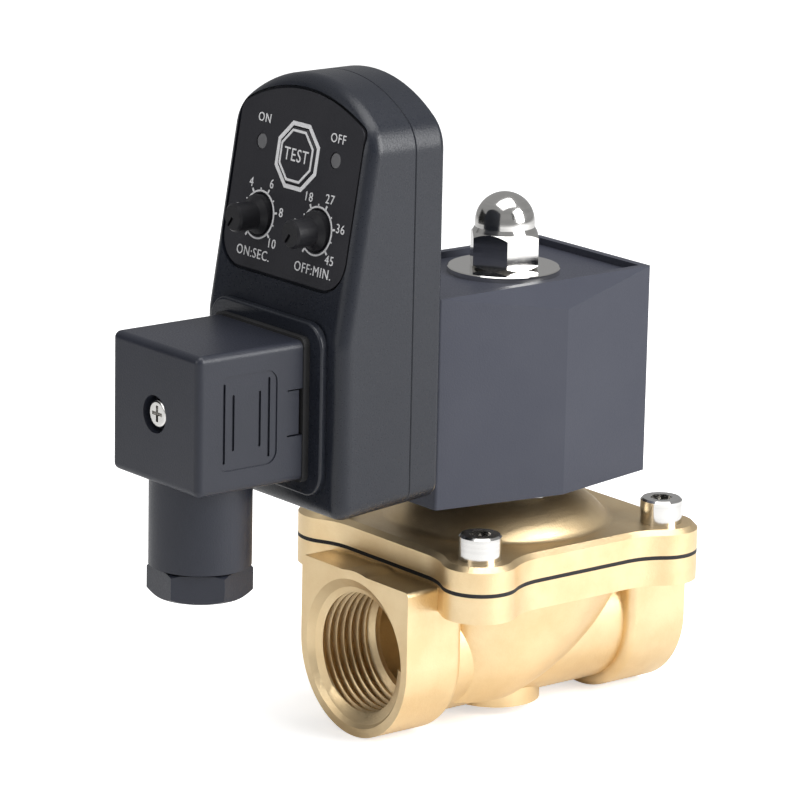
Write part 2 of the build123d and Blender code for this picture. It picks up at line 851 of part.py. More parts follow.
def at_contacts(y, growth):
    """Contact pattern of the plug: two upright blades and a level one below."""
    with BuildSketch(facing_front(y)) as contacts:
        with Locations((-blade_spread, plug_z), (blade_spread, plug_z)):
            Rectangle(blade_thickness + growth, blade_width + growth)
        with Locations((0, plug_z - blade_spread)):
            Rectangle(blade_width + growth, blade_thickness + growth)
    return contacts.sketch


# The knobs stand level, so their holes run along Y through the sloping wall.
knob_z = panel_point(0, knob_up).Z
knob_face_y = panel_point(0, knob_up).Y
button_centre = panel_point(0, button_up)
pot_face_y = knob_face_y + pot_setback
board_front_y = pot_face_y + pot_height
switch_face_y = button_centre.Y + (button_reach + button_travel + 0.4) * cos(tilt)

with BuildPart() as timer_case:
    add(case_solid(0))
    fillet(timer_case.faces().sort_by(Axis.Y)[-1].edges(), timer_rear_edge)
    front = timer_case.faces().filter_by(lambda face: face.normal_at().Y < -0.95)
    front_rim = front.edges().filter_by(Axis.X, reverse=True)
    front_foot = front.edges().filter_by(Axis.X).sort_by(Axis.Z)[:1]
    fillet(front_rim + front_foot, timer_edge)

with BuildPart() as timer_back_cover:
    add(timer_case.part)
    with BuildSketch(facing_front(seam_y)):
        with Locations((0, timer_top / 2)):
            Rectangle(4 * timer_half_width, 2 * timer_top)
    extrude(amount=2 * timer_depth, mode=Mode.SUBTRACT)
    chamfer(timer_back_cover.faces().sort_by(Axis.Y)[0].edges(), seam_groove)
    add(case_solid(timer_wall), mode=Mode.SUBTRACT)
    extrude(at_contacts(timer_back_y, 0.4), amount=timer_wall, mode=Mode.SUBTRACT)
write(timer_back_cover, "timer_back_cover")

with BuildPart() as timer_front_shell:
    add(timer_case.part)
    with BuildSketch(facing_front(seam_y)):
        with Locations((0, timer_top / 2)):
            Rectangle(4 * timer_half_width, 2 * timer_top)
    extrude(amount=-2 * timer_depth, mode=Mode.SUBTRACT)
    chamfer(timer_front_shell.faces().sort_by(Axis.Y)[-1].edges(), seam_groove)
    with BuildSketch(facing_front(timer_front_y)):
        with Locations((0, plug_z)):
            RectangleRounded(socket_pad_width, socket_pad_height, socket_pad_radius)
    extrude(amount=socket_pad_thickness)
    fillet(timer_front_shell.faces().sort_by(Axis.Y)[0].edges(), socket_pad_edge)
    add(case_solid(timer_wall), mode=Mode.SUBTRACT)
    extrude(panel_outline(panel_gap, 0), amount=-panel_recess, mode=Mode.SUBTRACT)
    extrude(panel_openings(0), amount=-2 * timer_wall, mode=Mode.SUBTRACT)
    with BuildSketch(facing_front(knob_face_y + 2 * timer_wall)):
        with Locations((-knob_x, knob_z), (knob_x, knob_z)):
            Circle(knob_hole_radius)
    extrude(amount=4 * timer_wall, mode=Mode.SUBTRACT)
    pad_face_y = timer_front_y - socket_pad_thickness
    extrude(at_contacts(pad_face_y, 0), amount=-2 * timer_wall, mode=Mode.SUBTRACT)
    with BuildSketch(facing_front(pad_face_y)):
        with Locations((0, plug_z)):
            Circle(plug_screw_radius)
    extrude(amount=-2 * timer_wall, mode=Mode.SUBTRACT)
write(timer_front_shell, "timer_front_shell")

with BuildPart() as timer_panel:
    extrude(panel_outline(0, panel_recess), amount=panel_thickness)
    extrude(panel_openings(panel_recess), amount=panel_thickness, mode=Mode.SUBTRACT)
    with BuildSketch(facing_front(knob_face_y + 2 * timer_wall)):
        with Locations((-knob_x, knob_z), (knob_x, knob_z)):
            Circle(knob_hole_radius)
    extrude(amount=4 * timer_wall, mode=Mode.SUBTRACT)
write(timer_panel, "timer_panel")

with BuildPart() as test_button:
    cap_top = panel_recess - panel_thickness - button_proud
    with BuildSketch(panel_plane.offset(-cap_top)):
        with Locations((0, button_up)):
            RegularPolygon(button_flats / 2, 8, major_radius=False, rotation=22.5)
    extrude(amount=-(timer_wall + 0.3 - cap_top))
    chamfer(test_button.faces().sort_by(Axis.Y)[0].edges(), 0.3)
    # retaining flange behind the wall, then the stem that reaches the switch
    with BuildSketch(panel_plane.offset(-timer_wall - 0.3)):
        with Locations((0, button_up)):
            RegularPolygon(button_flats / 2 + 1.0, 8, major_radius=False, rotation=22.5)
    extrude(amount=-button_cap)
    with BuildSketch(panel_plane.offset(-timer_wall - 0.3)):
        with Locations((0, button_up)):
            Circle(button_stem)
    extrude(amount=-(button_reach - timer_wall - 0.3))
write(test_button, "test_button")

for side, lamp_name in ((-1, "on_lamp"), (1, "off_lamp")):
    with BuildPart() as lamp:
        with BuildSketch(panel_plane.offset(-lamp_length)):
            with Locations((side * lamp_x, lamp_up)):
                Circle(lamp_radius)
        extrude(amount=lamp_length - panel_recess + panel_thickness)
        fillet(lamp.edges().filter_by(GeomType.CIRCLE).sort_by(Axis.Y)[0], 0.5)
        with BuildSketch(facing_front(board_front_y)):
            with Locations((side * lamp_x, panel_point(0, lamp_up).Z - lamp_length * sin(tilt))):
                with GridLocations(1.27, 0, 2, 1):
                    Rectangle(0.5, 0.5)
        extrude(amount=board_front_y - knob_face_y - lamp_length)
    write(lamp, lamp_name)

# Each knob is a trimmer's shaft, with a pointer notch in its tip.
knob_tip_y = knob_face_y - knob_length
for side, knob_name in ((-1, "on_time_knob"), (1, "off_time_knob")):
    knob_axis = Axis((side * knob_x, 0, knob_z), (0, 1, 0))
    with BuildPart() as knob:
        with BuildSketch(Plane.XY.offset(knob_z)):
            with BuildLine():
                Polyline(
                    (side * knob_x, knob_tip_y),
                    (side * knob_x + knob_radius - 0.4, knob_tip_y),
                    (side * knob_x + knob_radius, knob_tip_y + 0.4),
                    (side * knob_x + knob_radius, knob_face_y - 1.6),
                    (side * knob_x + knob_foot_radius, knob_face_y - 0.6),
                    (side * knob_x + knob_foot_radius, pot_face_y - 1.0),
                    (side * knob_x + knob_radius - 0.8, pot_face_y - 1.0),
                    (side * knob_x + knob_radius - 0.8, pot_face_y - 0.1),
                    (side * knob_x, pot_face_y - 0.1),
                    close=True,
                )
            make_face()
        revolve(axis=knob_axis)
        with BuildSketch(facing_front(knob_tip_y)):
            with Locations(Location((side * knob_x, knob_z), knob_rest_angle)):
                with Locations((knob_radius / 2, 0)):
                    Rectangle(knob_radius, knob_notch_width)
        extrude(amount=-knob_notch_depth, mode=Mode.SUBTRACT)
    write(knob, knob_name)

    with BuildPart() as trimmer:
        with BuildSketch(facing_front(pot_face_y)):
            with Locations((side * knob_x, knob_z)):
                Rectangle(pot_size, pot_size)
        extrude(amount=-pot_height)
    write(trimmer, knob_name.replace("knob", "trimmer"))

# The board stands upright behind the trimmers and carries the relay.
with BuildPart() as circuit_board:
    with BuildSketch(facing_front(board_front_y)):
        with Locations((0, board_bottom + board_height / 2)):
            Rectangle(2 * board_half_width, board_height)
    extrude(amount=-board_thickness)
write(circuit_board, "circuit_board")

with BuildPart() as test_switch:
    with BuildSketch(facing_front(board_front_y)):
        with Locations((0, button_centre.Z)):
            Rectangle(switch_size, switch_size)
    extrude(amount=board_front_y - switch_face_y)
write(test_switch, "test_switch")

with BuildPart() as relay:
    with BuildSketch(facing_front(board_front_y + board_thickness)):
        with Locations((0, knob_z)):
            Rectangle(relay_width, relay_height)
    extrude(amount=-relay_depth)
    fillet(relay.edges().filter_by(Axis.Y), 0.8)
write(relay, "relay")

with BuildPart() as timer_socket:
    with BuildSketch(facing_front(timer_back_y - timer_wall)):
        with Locations((0, plug_z)):
            RectangleRounded(socket_size, socket_size, 1.5)
    extrude(amount=socket_depth)
    extrude(at_contacts(timer_back_y - timer_wall, 0.2), amount=socket_depth, mode=Mode.SUBTRACT)
write(timer_socket, "timer_socket")

with BuildPart() as timer_blades:
    extrude(at_contacts(pad_face_y, 0), amount=blade_reach)
    extrude(at_contacts(pad_face_y, 0), amount=-2 * timer_wall)
write(timer_blades, "timer_blades")

# ==========================================================================
# Mains plug
# ==========================================================================
with BuildPart() as plug_gasket:
    with BuildSketch(facing_front(pad_face_y)):
        with Locations((0, plug_z)):
            RectangleRounded(plug_gasket_size, plug_gasket_size, 1.5)
            Circle(plug_screw_radius + 0.3, mode=Mode.SUBTRACT)
    extrude(amount=plug_gasket_thickness)
    extrude(at_contacts(pad_face_y, 0.4), amount=plug_gasket_thickness, mode=Mode.SUBTRACT)
write(plug_gasket, "plug_gasket")

plug_inner_width = plug_width - 2 * plug_wall
plug_inner_height = plug_height - 2 * plug_wall
insert_front_y = plug_back_y - insert_depth
with BuildPart() as plug_housing:
    with BuildSketch(facing_front(plug_back_y)):
        with Locations((0, plug_z)):
            Rectangle(plug_width, plug_height)
    extrude(amount=plug_depth)
    fillet(plug_housing.edges().filter_by(Axis.Y), plug_edge)
    fillet(plug_housing.faces().sort_by(Axis.Y)[0].edges(), plug_edge)
    with BuildSketch(Plane((0, gland_y, plug_z))):
        Circle(gland_radius)
    extrude(amount=gland_end - plug_z)
    # hollow for the terminal block, open at the back
    with BuildSketch(facing_front(plug_back_y)):
        with Locations((0, plug_z)):
            RectangleRounded(plug_inner_width, plug_inner_height, 1.0)
    extrude(amount=plug_depth - plug_wall, mode=Mode.SUBTRACT)
    # screw boss, hole and well
    with BuildSketch(facing_front(plug_front_y + plug_edge)):
        with Locations((0, plug_z)):
            Circle(plug_screw_well_radius + plug_wall / 2)
    extrude(amount=-(insert_front_y - plug_front_y - plug_edge))
    with BuildSketch(facing_front(plug_front_y)):
        with Locations((0, plug_z)):
            Circle(plug_screw_well_radius)
    extrude(amount=-plug_screw_well_depth, mode=Mode.SUBTRACT)
    with BuildSketch(facing_front(plug_front_y)):
        with Locations((0, plug_z)):
            Circle(plug_screw_radius + 0.2)
    extrude(amount=-plug_depth, mode=Mode.SUBTRACT)
    # stepped bore of the cable entry
    with BuildSketch(Plane((0, gland_y, gland_end))):
        Circle(gland_thread_radius)
    extrude(amount=gland_thread_length, mode=Mode.SUBTRACT)
    with BuildSketch(Plane((0, gland_y, gland_end))):
        Circle(gland_bore)
    extrude(amount=gland_length + plug_wall, mode=Mode.SUBTRACT)
    # moulded frame with four slots on each side face
    for side_plane in (Plane.YZ.offset(plug_width / 2), Plane.YZ.offset(-plug_width / 2)):
        inward = -vent_frame_depth if side_plane.origin.X > 0 else vent_frame_depth
        with BuildSketch(side_plane):
            with Locations((vent_y, plug_z)):
                RectangleRounded(vent_frame_length, vent_frame_height, vent_frame_radius)
        extrude(amount=inward, mode=Mode.SUBTRACT)
        with BuildSketch(side_plane):
            with Locations((vent_y, plug_z)):
                with GridLocations(2 * vent_outer, 0, 2, 1):
                    SlotCenterToCenter(vent_outer_length, vent_slot_width, rotation=90)
                with GridLocations(2 * vent_inner, 0, 2, 1):
                    SlotCenterToCenter(vent_inner_length, vent_slot_width, rotation=90)
        extrude(amount=inward * vent_slot_ratio, mode=Mode.SUBTRACT)
    # clip windows at the rear edge
    with BuildSketch(facing_front(plug_back_y)):
        with Locations((0, plug_z)):
            with GridLocations(plug_width, 0, 2, 1):
                Rectangle(2 * plug_wall, clip_height)
    extrude(amount=clip_length, mode=Mode.SUBTRACT)
write(plug_housing, "plug_housing")

with BuildPart() as terminal_block:
    with BuildSketch(facing_front(plug_back_y)):
        with Locations((0, plug_z)):
            RectangleRounded(plug_inner_width - 0.2, plug_inner_height - 0.2, 1.0)
            Circle(plug_screw_radius + 0.2, mode=Mode.SUBTRACT)
    extrude(amount=insert_depth)
    extrude(at_contacts(plug_back_y, 0.2), amount=insert_slot_depth, mode=Mode.SUBTRACT)
    # side clips that show in the housing's windows, clear of the rear edge
    with BuildSketch(facing_front(plug_back_y - clip_gap)):
        with Locations((0, plug_z)):
            Rectangle(plug_width - 0.4, clip_height - 0.6)
            Rectangle(plug_inner_width - 0.4, clip_height, mode=Mode.SUBTRACT)
    extrude(amount=clip_length - clip_gap)
write(terminal_block, "terminal_block")

with BuildPart() as plug_screw:
    head_y = plug_front_y + plug_screw_well_depth
    with BuildSketch(facing_front(head_y)):
        with Locations((0, plug_z)):
            Circle(plug_screw_head_radius)
    extrude(amount=plug_screw_head_height)
    fillet(plug_screw.faces().sort_by(Axis.Y)[0].edges(), 0.6)
    with BuildSketch(facing_front(head_y)):
        with Locations((0, plug_z)):
            Circle(plug_screw_radius)
    extrude(amount=-(pad_face_y + 2 * timer_wall - head_y))
    with BuildSketch(facing_front(head_y - plug_screw_head_height)):
        with Locations((0, plug_z)):
            Rectangle(3.2, 0.7)
            Rectangle(0.7, 3.2)
    extrude(amount=-1.2, mode=Mode.SUBTRACT)
write(plug_screw, "plug_screw")

# Cable entry, from the inside outwards: rubber seal, pressure ring, nut.
seal_z = gland_end + gland_thread_length
with BuildPart() as gland_seal:
    with BuildSketch(Plane((0, gland_y, seal_z - gland_seal_height))):
        Circle(gland_thread_radius - 0.1)
        Circle(gland_seal_bore, mode=Mode.SUBTRACT)
    extrude(amount=gland_seal_height)
write(gland_seal, "gland_seal")

ring_z = seal_z - gland_seal_height - gland_ring_thickness
with BuildPart() as gland_ring:
    with BuildSketch(Plane((0, gland_y, ring_z))):
        Circle(gland_thread_radius - 0.2)
        Circle(gland_nut_hole, mode=Mode.SUBTRACT)
    extrude(amount=gland_ring_thickness)
write(gland_ring, "gland_ring")

nut_top = gland_end - gland_nut_gap
with BuildPart() as gland_nut:
    with BuildSketch(Plane((0, gland_y, nut_top))):
        RegularPolygon(gland_nut_flats / 2, 6, major_radius=False, rotation=gland_nut_turn)
    extrude(amount=-gland_nut_height)
    with BuildSketch(Plane.XZ.offset(-gland_y)):
        with BuildLine():
            nut_corner = gland_nut_flats / sqrt(3)
            nut_foot = nut_top - gland_nut_height
            Polyline(
                (0, nut_foot),
                (nut_corner - 1.4, nut_foot),
                (nut_corner, nut_foot + 0.8),
                (nut_corner, nut_top - 0.5),
                (nut_corner - 0.8, nut_top),
                (0, nut_top),
                close=True,
            )
        make_face()
    revolve(axis=gland_axis, mode=Mode.INTERSECT)
    with BuildSketch(Plane((0, gland_y, nut_top))):
        Circle(gland_thread_radius - 0.1)
    extrude(amount=ring_z - nut_top)
    with BuildSketch(Plane((0, gland_y, nut_foot))):
        Circle(gland_nut_hole)
    extrude(amount=ring_z - nut_foot, mode=Mode.SUBTRACT)
write(gland_nut, "gland_nut")
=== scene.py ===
from math import cos, pi, radians, sin, sqrt

import bmesh
import bpy
from mathutils import Matrix, Vector


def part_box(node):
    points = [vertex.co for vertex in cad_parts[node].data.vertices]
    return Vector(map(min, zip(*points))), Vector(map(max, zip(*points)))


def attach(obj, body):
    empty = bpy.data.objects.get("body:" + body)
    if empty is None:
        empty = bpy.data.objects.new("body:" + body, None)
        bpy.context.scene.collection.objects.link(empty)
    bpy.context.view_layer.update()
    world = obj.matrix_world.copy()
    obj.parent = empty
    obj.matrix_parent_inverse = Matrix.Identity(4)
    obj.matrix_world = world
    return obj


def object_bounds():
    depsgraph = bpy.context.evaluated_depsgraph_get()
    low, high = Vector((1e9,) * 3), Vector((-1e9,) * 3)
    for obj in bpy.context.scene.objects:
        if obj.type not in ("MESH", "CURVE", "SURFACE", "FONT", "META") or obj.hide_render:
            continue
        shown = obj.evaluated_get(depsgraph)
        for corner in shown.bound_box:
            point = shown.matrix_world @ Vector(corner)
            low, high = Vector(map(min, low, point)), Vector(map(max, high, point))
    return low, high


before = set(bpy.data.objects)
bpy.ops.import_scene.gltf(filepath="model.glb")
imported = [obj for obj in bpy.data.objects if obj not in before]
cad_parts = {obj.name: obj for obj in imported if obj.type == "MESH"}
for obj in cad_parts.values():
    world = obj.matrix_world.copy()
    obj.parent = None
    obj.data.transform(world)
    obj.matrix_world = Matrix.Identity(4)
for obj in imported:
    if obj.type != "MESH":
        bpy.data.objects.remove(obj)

cad_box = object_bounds()
MM = 0.001

# ---------------------------------------------------------------- node groups


def new_group(name, inputs, outputs):
    """Shader node group with named sockets; gives the tree, its input and its output."""
    tree = bpy.data.node_groups.new(name, "ShaderNodeTree")
    for label, kind, value in inputs:
        socket = tree.interface.new_socket(label, in_out="INPUT", socket_type=kind)
        socket.default_value = value
    for label, kind in outputs:
        tree.interface.new_socket(label, in_out="OUTPUT", socket_type=kind)
    return tree, tree.nodes.new("NodeGroupInput"), tree.nodes.new("NodeGroupOutput")


def connect(tree, *pairs):
    """Link output and input sockets, given in pairs."""
    for start, end in pairs:
        tree.links.new(start, end)


def feed(tree, value, socket):
    """Set an input to a number, or link another socket to it."""
    if isinstance(value, (int, float)):
        socket.default_value = value
    else:
        tree.links.new(value, socket)


def noise(tree, scale, detail=3.0, roughness=0.55):
    """Noise on object coordinates; scale is in lumps per metre, or a socket."""
    place = tree.nodes.new("ShaderNodeTexCoord")
    texture = tree.nodes.new("ShaderNodeTexNoise")
    texture.inputs["Detail"].default_value = detail
    texture.inputs["Roughness"].default_value = roughness
    tree.links.new(place.outputs["Object"], texture.inputs["Vector"])
    feed(tree, scale, texture.inputs["Scale"])
    return texture.outputs["Fac"]


def remap(tree, value, low, high, to_low=0.0, to_high=1.0):
    """Spread the range low to high over another range; any end may be a socket."""
    node = tree.nodes.new("ShaderNodeMapRange")
    tree.links.new(value, node.inputs["Value"])
    limits = {"From Min": low, "From Max": high, "To Min": to_low, "To Max": to_high}
    for label, limit in limits.items():
        feed(tree, limit, node.inputs[label])
    return node.outputs["Result"]


def blend_colours(tree, mask, first, second):
    """Mix two colour sockets by a mask."""
    node = tree.nodes.new("ShaderNodeMix")
    node.data_type = "RGBA"
    connect(tree, (mask, node.inputs[0]), (first, node.inputs[6]), (second, node.inputs[7]))
    return node.outputs[2]


def bump(tree, height, distance):
    """Normal from a height socket and a socket for its distance in metres."""
    node = tree.nodes.new("ShaderNodeBump")
    node.inputs["Strength"].default_value = 1.0
    connect(tree, (height, node.inputs["Height"]), (distance, node.inputs["Distance"]))
    return node.outputs["Normal"]


SURFACE_OUTPUTS = [
    ("Colour", "NodeSocketColor"),
    ("Roughness", "NodeSocketFloat"),
    ("Normal", "NodeSocketVector"),
]


def grained_surface():
    """Fine grain over broad clouds: colour, roughness and a shallow relief."""
    tree, given, result = new_group(
        "grained_surface",
        [
            ("Colour", "NodeSocketColor", (0.5, 0.5, 0.5, 1)),
            ("Clouded colour", "NodeSocketColor", (0.4, 0.4, 0.4, 1)),
            ("Cloud scale", "NodeSocketFloat", 90.0),
            ("Grain scale", "NodeSocketFloat", 2500.0),
            ("Relief", "NodeSocketFloat", 0.00004),
            ("Smooth", "NodeSocketFloat", 0.4),
            ("Rough", "NodeSocketFloat", 0.5),
        ],
        SURFACE_OUTPUTS,
    )
    clouds = noise(tree, given.outputs["Cloud scale"], 4.0)
    grain = noise(tree, given.outputs["Grain scale"], 2.0, 0.6)
    mask = remap(tree, clouds, 0.35, 0.65)
    colour = blend_colours(tree, mask, given.outputs["Colour"], given.outputs["Clouded colour"])
    rough = remap(tree, grain, 0.3, 0.7, given.outputs["Smooth"], given.outputs["Rough"])
    connect(
        tree,
        (colour, result.inputs["Colour"]),
        (rough, result.inputs["Roughness"]),
        (bump(tree, grain, given.outputs["Relief"]), result.inputs["Normal"]),
    )
    return tree


def turned_surface():
    """Fine lathe lines round an upright axis, with a little smearing."""
    tree, given, result = new_group(
        "turned_surface",
        [
            ("Colour", "NodeSocketColor", (0.6, 0.6, 0.6, 1)),
            ("Line scale", "NodeSocketFloat", 1500.0),
            ("Relief", "NodeSocketFloat", 0.00001),
            ("Smooth", "NodeSocketFloat", 0.15),
            ("Rough", "NodeSocketFloat", 0.3),
        ],
        SURFACE_OUTPUTS,
    )
    place = tree.nodes.new("ShaderNodeTexCoord")
    squeeze = tree.nodes.new("ShaderNodeMapping")
    # noise drawn out sideways, so that it reads as lines round the axis
    squeeze.inputs["Scale"].default_value = (0.02, 0.02, 1.0)
    lines = tree.nodes.new("ShaderNodeTexNoise")
    lines.inputs["Detail"].default_value = 2.0
    connect(
        tree,
        (place.outputs["Object"], squeeze.inputs["Vector"]),
        (squeeze.outputs["Vector"], lines.inputs["Vector"]),
        (given.outputs["Line scale"], lines.inputs["Scale"]),
    )
    streak = lines.outputs["Fac"]
    smear = noise(tree, 160.0, 3.0)
    rough = remap(tree, smear, 0.35, 0.65, given.outputs["Smooth"], given.outputs["Rough"])
    darker = tree.nodes.new("ShaderNodeHueSaturation")
    darker.inputs["Value"].default_value = 0.86
    tree.links.new(given.outputs["Colour"], darker.inputs["Color"])
    mask = remap(tree, streak, 0.4, 0.7)
    colour = blend_colours(tree, mask, given.outputs["Colour"], darker.outputs["Color"])
    connect(
        tree,
        (colour, result.inputs["Colour"]),
        (rough, result.inputs["Roughness"]),
        (bump(tree, streak, given.outputs["Relief"]), result.inputs["Normal"]),
    )
    return tree


GRAINED = grained_surface()
TURNED = turned_surface()


# ------------------------------------------------------------------ materials


def new_material(name, group, values, shader_values):
    """Material of one shader, fed by a surface group and by fixed values."""
    material = bpy.data.materials.new(name)
    material.use_nodes = True
    tree = material.node_tree
    shader = tree.nodes["Principled BSDF"]
    surface = tree.nodes.new("ShaderNodeGroup")
    surface.node_tree = group
    for label, value in values.items():
        surface.inputs[label].default_value = value
    connect(
        tree,
        (surface.outputs["Colour"], shader.inputs["Base Color"]),
        (surface.outputs["Roughness"], shader.inputs["Roughness"]),
        (surface.outputs["Normal"], shader.inputs["Normal"]),
    )
    for label, value in shader_values.items():
        shader.inputs[label].default_value = value
    return material


def moulded(name, colour, clouded, smooth=0.38, rough=0.5, shine=0.22):
    """Satin moulded plastic."""
    return new_material(
        name,
        GRAINED,
        {
            "Colour": (*colour, 1),
            "Clouded colour": (*clouded, 1),
            "Cloud scale": 60.0,
            "Grain scale": 2600.0,
            "Relief": 0.00003,
            "Smooth": smooth,
            "Rough": rough,
        },
        {"Specular IOR Level": shine},
    )


def plated(name, colour, smooth, rough):
    """Bright plated metal."""
    return new_material(
        name,
        TURNED,
        {
            "Colour": (*colour, 1),
            "Line scale": 900.0,
            "Relief": 0.000004,
            "Smooth": smooth,
            "Rough": rough,
        },
        {"Metallic": 1.0},
    )


CAST_BRASS = new_material(
    "cast_brass",
    GRAINED,
    {
        "Colour": (0.84, 0.66, 0.40, 1),
        "Clouded colour": (0.77, 0.58, 0.33, 1),
        "Cloud scale": 110.0,
        "Grain scale": 2400.0,
        "Relief": 0.00005,
        "Smooth": 0.33,
        "Rough": 0.45,
    },
    {"Metallic": 1.0},
)
TURNED_BRASS = plated("turned_brass", (0.83, 0.68, 0.40), 0.16, 0.3)
NICKEL = plated("nickel_plate", (0.70, 0.69, 0.67), 0.08, 0.18)
STAINLESS = plated("stainless_steel", (0.62, 0.62, 0.61), 0.2, 0.34)
ZINC = plated("zinc_plate", (0.60, 0.61, 0.63), 0.25, 0.4)
TIN = plated("tin_plate", (0.74, 0.73, 0.69), 0.2, 0.36)
COPPER = plated("enamelled_copper", (0.72, 0.33, 0.16), 0.2, 0.3)
RUBBER = moulded("black_rubber", (0.018, 0.018, 0.019), (0.024, 0.024, 0.025), 0.55, 0.7)
COIL_PLASTIC = moulded("coil_plastic", (0.040, 0.043, 0.058), (0.044, 0.047, 0.062), 0.40, 0.52)
CASE_PLASTIC = moulded(
    "case_plastic", (0.010, 0.012, 0.018), (0.012, 0.014, 0.020), 0.26, 0.38, shine=0.38
)
PLUG_PLASTIC = moulded(
    "plug_plastic", (0.015, 0.017, 0.025), (0.017, 0.019, 0.028), 0.32, 0.44, shine=0.35
)
PANEL_PLASTIC = moulded("panel_plastic", (0.024, 0.024, 0.028), (0.027, 0.027, 0.031), 0.34, 0.44)
KNOB_PLASTIC = moulded("knob_plastic", (0.010, 0.010, 0.012), (0.012, 0.012, 0.014), 0.34, 0.46)
LAMP_PLASTIC = moulded("lamp_plastic", (0.11, 0.11, 0.115), (0.13, 0.13, 0.135), 0.3, 0.4)
PALE_PLASTIC = moulded("pale_plastic", (0.62, 0.60, 0.54), (0.58, 0.56, 0.50))
TRIMMER_PLASTIC = moulded("trimmer_plastic", (0.05, 0.08, 0.20), (0.05, 0.08, 0.18))
BOARD = moulded("board_laminate", (0.02, 0.12, 0.06), (0.02, 0.10, 0.05), 0.25, 0.4)

NODE_MATERIALS = {
    CAST_BRASS: ["valve_body", "bonnet"],
    TURNED_BRASS: ["diaphragm_plate", "diaphragm_retainer"],
    NICKEL: ["bonnet_screws", "cap_nut", "coil_washer", "plug_screw", "gland_ring"],
    STAINLESS: ["guide_tube", "fixed_core", "plunger", "plunger_spring"],
    ZINC: ["coil_yoke"],
    TIN: ["coil_blades", "timer_blades"],
    COPPER: ["coil_winding"],
    RUBBER: [
        "diaphragm", "plunger_seal", "tube_o_ring", "coil_gasket", "plug_gasket", "gland_seal",
    ],
    COIL_PLASTIC: ["coil_shell"],
    CASE_PLASTIC: ["timer_back_cover", "timer_front_shell"],
    PLUG_PLASTIC: ["plug_housing", "terminal_block", "gland_nut"],
    PANEL_PLASTIC: ["timer_panel", "test_button"],
    KNOB_PLASTIC: ["on_time_knob", "off_time_knob"],
    LAMP_PLASTIC: ["on_lamp", "off_lamp"],
    PALE_PLASTIC: ["coil_bobbin", "timer_socket"],
    TRIMMER_PLASTIC: ["on_time_trimmer", "off_time_trimmer", "test_switch", "relay"],
    BOARD: ["circuit_board"],
}

for material, names in NODE_MATERIALS.items():
    for name in names:
        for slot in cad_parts[name].material_slots:
            slot.material = material


# ------------------------------------------------------------------ new pieces


def finish_piece(name, cells, material, body, smooth_angle=None):
    """Turn a bmesh into a piece that rides on a body."""
    mesh = bpy.data.meshes.new(name)
    cells.to_mesh(mesh)
    cells.free()
    if smooth_angle is not None:
        mesh.shade_smooth()
        mesh.set_sharp_from_angle(angle=radians(smooth_angle))
    mesh.materials.append(material)
    piece = bpy.data.objects.new(name, mesh)
    bpy.context.scene.collection.objects.link(piece)
    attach(piece, body)


def pipe_thread(name, mouth_y, inward):
    """Helical ridge of a G 3/4 thread inside a port; inward is +1 or -1 along Y."""
    pitch, root, crest = 1.814 * MM, 13.30 * MM, 12.10 * MM
    turns, steps = 6.6, 64
    mouth_gap = 0.15 * MM
    chamfer_depth, chamfer_width = 1.6 * MM, 1.98 * MM
    root_side, crest_growth = 13.0 * MM, 1.35
    flank, tip = 0.46 * pitch, 0.10 * pitch
    start = mouth_y + inward * (mouth_gap + flank) - (0 if inward > 0 else turns * pitch)
    cells = bmesh.new()
    profile = [(root, -flank), (crest, -tip), (crest, tip), (root, flank)]
    corners = [cells.verts.new((radius, start + along, 0)) for radius, along in profile]
    edges = [cells.edges.new((corners[i - 1], corners[i])) for i in range(4)]
    count = round(turns * steps)
    bmesh.ops.spin(
        cells,
        geom=corners + edges,
        cent=(0, 0, 0),
        axis=(0, 1, 0),
        dvec=(0, pitch / steps, 0),
        angle=count * 2 * pi / steps,
        steps=count,
    )
    bmesh.ops.holes_fill(cells, edges=cells.edges[:], sides=4)
    # In the mouth's chamfer the ridge opens out, and its crest, which is inside
    # root_side, moves further than its root, so the ridge gets lower.
    for vert in cells.verts:
        share = 1 - abs(vert.co.y - mouth_y) / chamfer_depth
        if share > 0:
            radius = sqrt(vert.co.x**2 + vert.co.z**2)
            growth = 1.0 if radius > root_side else crest_growth
            grown = (radius + share * chamfer_width * growth) / radius
            vert.co.x *= grown
            vert.co.z *= grown
    bmesh.ops.recalc_face_normals(cells, faces=cells.faces[:])
    finish_piece(name, cells, CAST_BRASS, "valve", smooth_angle=40)


# Panel coordinates: across and up the sloping front, from the knee in mm.
TILT = radians(9.6)
PANEL_LOW = 9.9                # the panel's lower edge
PANEL_THICK = 0.9
panel_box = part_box("timer_panel")
panel_foot = Vector((0, panel_box[0][1], panel_box[0][2] + PANEL_THICK * MM * sin(TILT)))
panel_up = Vector((0, sin(TILT), cos(TILT)))
panel_out = Vector((0, -cos(TILT), sin(TILT)))


def on_panel(lift):
    """Matrix that lays flat work, in mm, on the panel's face."""
    turn = Matrix((Vector((1, 0, 0)), panel_up, panel_out)).transposed().to_4x4()
    place = Matrix.Translation(panel_foot - panel_up * PANEL_LOW * MM + panel_out * lift * MM)
    return place @ turn @ Matrix.Scale(MM, 4)


PRINT = moulded("white_print", (0.62, 0.62, 0.63), (0.58, 0.58, 0.59), 0.45, 0.55)
INK = 0.04                     # half the print's thickness
CAPITAL_SHARE = 0.70           # height of a capital in the font's size
LETTER_SPACE = 1.12


